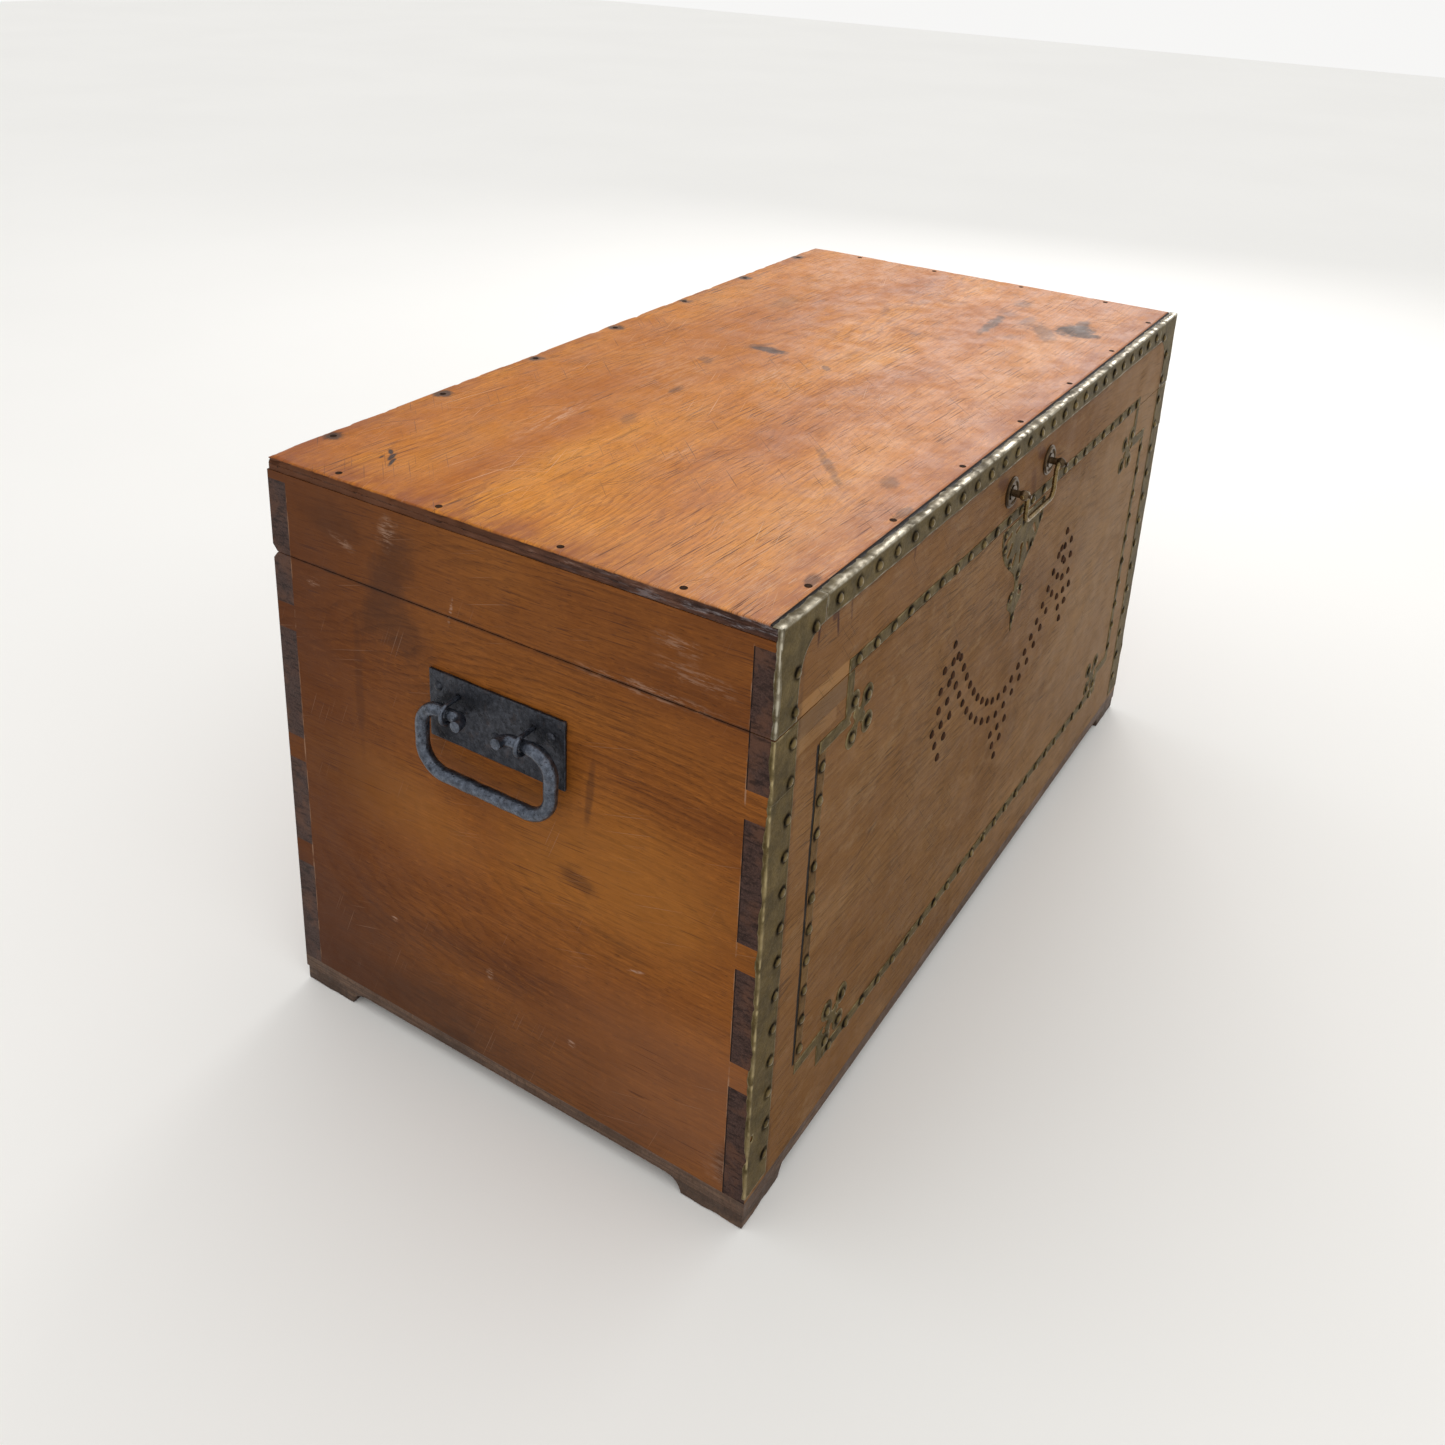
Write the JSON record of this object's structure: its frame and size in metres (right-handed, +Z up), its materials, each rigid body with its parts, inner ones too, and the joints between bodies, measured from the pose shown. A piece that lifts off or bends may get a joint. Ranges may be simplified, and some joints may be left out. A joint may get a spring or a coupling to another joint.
{
  "type": "wooden chest",
  "caption": "Dovetailed hardwood chest with a hinged lid, brass edge trim and escutcheon, an inset lock and iron bail handles on its ends.",
  "frame": {"origin": "on the floor, at the centre of the whole footprint, the front handle's posts included", "axes": "+X along the chest towards its right end as seen from the front, -Y out of the front face, +Z up"},
  "size_m": [0.941, 0.475, 0.508],
  "materials": {
    "wood_front": "old dull varnish over brown hardwood, horizontal grain",
    "wood_end": "red-brown satin varnish, horizontal grain",
    "wood_top": "glossy orange-brown varnish, scratched and stained",
    "wood_base": "darkened, worn edges",
    "brass_sheet": "dull bronze tarnish, bright worn edges",
    "brass_nails": "tarnished, rubbed bright on the domes",
    "brass_handle": "polished by use",
    "black_iron": "black hammered iron, pitted",
    "worn_iron": "grey iron, rubbed smooth",
    "steel": "oiled"
  },
  "bodies": {
    "chest": {"front_board": "wood_front", "back_board": "wood_front", "left_end_board": "wood_end", "right_end_board": "wood_end", "bottom_board": "wood_base", "foot_front_left": "wood_base", "foot_front_right": "wood_base", "foot_back_left": "wood_base", "foot_back_right": "wood_base", "bottom_nails": "black_iron", "corner_brass_left": "brass_sheet", "corner_brass_right": "brass_sheet", "border_strip_left": "brass_sheet", "border_strip_right": "brass_sheet", "border_strip_bottom": "brass_sheet", "corner_ornament_upper_left": "brass_sheet", "corner_ornament_upper_right": "brass_sheet", "corner_ornament_lower_left": "brass_sheet", "corner_ornament_lower_right": "brass_sheet", "body_trim_nails": "brass_nails", "escutcheon": "brass_sheet", "garland_studs": "black_iron", "lock_case": "brass_sheet", "lock_cap": "brass_sheet", "lock_key_pin": "steel", "lock_spring": "steel", "lock_screws": "brass_sheet", "hinge_leaf_body_left": "brass_sheet", "hinge_leaf_body_right": "brass_sheet", "hinge_pin_left": "steel", "hinge_pin_right": "steel", "hinge_screws_body": "brass_sheet", "handle_plate_left": "black_iron", "handle_plate_right": "black_iron", "handle_staples_left": "black_iron", "handle_staples_right": "black_iron", "handle_nails": "black_iron"},
    "lid": {"lid_top_board": "wood_top", "lid_front_rail": "wood_front", "lid_back_rail": "wood_front", "lid_left_rail": "wood_end", "lid_right_rail": "wood_end", "lid_top_nails": "black_iron", "lid_edge_brass": "brass_sheet", "lid_corner_brass_left": "brass_sheet", "lid_corner_brass_right": "brass_sheet", "lid_border_strip": "brass_sheet", "lid_trim_nails": "brass_nails", "lock_catch": "brass_sheet", "lock_catch_screws": "brass_sheet", "hinge_leaf_lid_left": "brass_sheet", "hinge_leaf_lid_right": "brass_sheet", "hinge_screws_lid": "brass_sheet", "bail_posts": "brass_handle", "bail_rosettes": "brass_handle", "bail_post_nuts": "brass_nails"},
    "left_handle": {"handle_bail_left": "worn_iron"},
    "right_handle": {"handle_bail_right": "worn_iron"},
    "front_handle": {"front_bail": "brass_handle"},
    "bolt": {"lock_bolt": "steel"}
  },
  "joints": [
    {"name": "lid_hinge", "type": "hinge", "parent": "chest", "child": "lid", "pos_m": [0, 0.2325, 0.4274], "axis": [-1, 0, 0], "range_deg": [0, 98]},
    {"name": "left_handle_swing", "type": "hinge", "parent": "chest", "child": "left_handle", "pos_m": [-0.4595, 0.009, 0.357], "axis": [0, 1, 0], "range_deg": [-8, 120]},
    {"name": "right_handle_swing", "type": "hinge", "parent": "chest", "child": "right_handle", "pos_m": [0.4595, 0.009, 0.357], "axis": [0, -1, 0], "range_deg": [-8, 120]},
    {"name": "front_handle_swing", "type": "hinge", "parent": "lid", "child": "front_handle", "pos_m": [0, -0.231, 0.461], "axis": [-1, 0, 0], "range_deg": [-4, 165]},
    {"name": "bolt_slide", "type": "slide", "parent": "chest", "child": "bolt", "axis": [1, 0, 0], "range_m": [0, 0.008]}
  ]
}
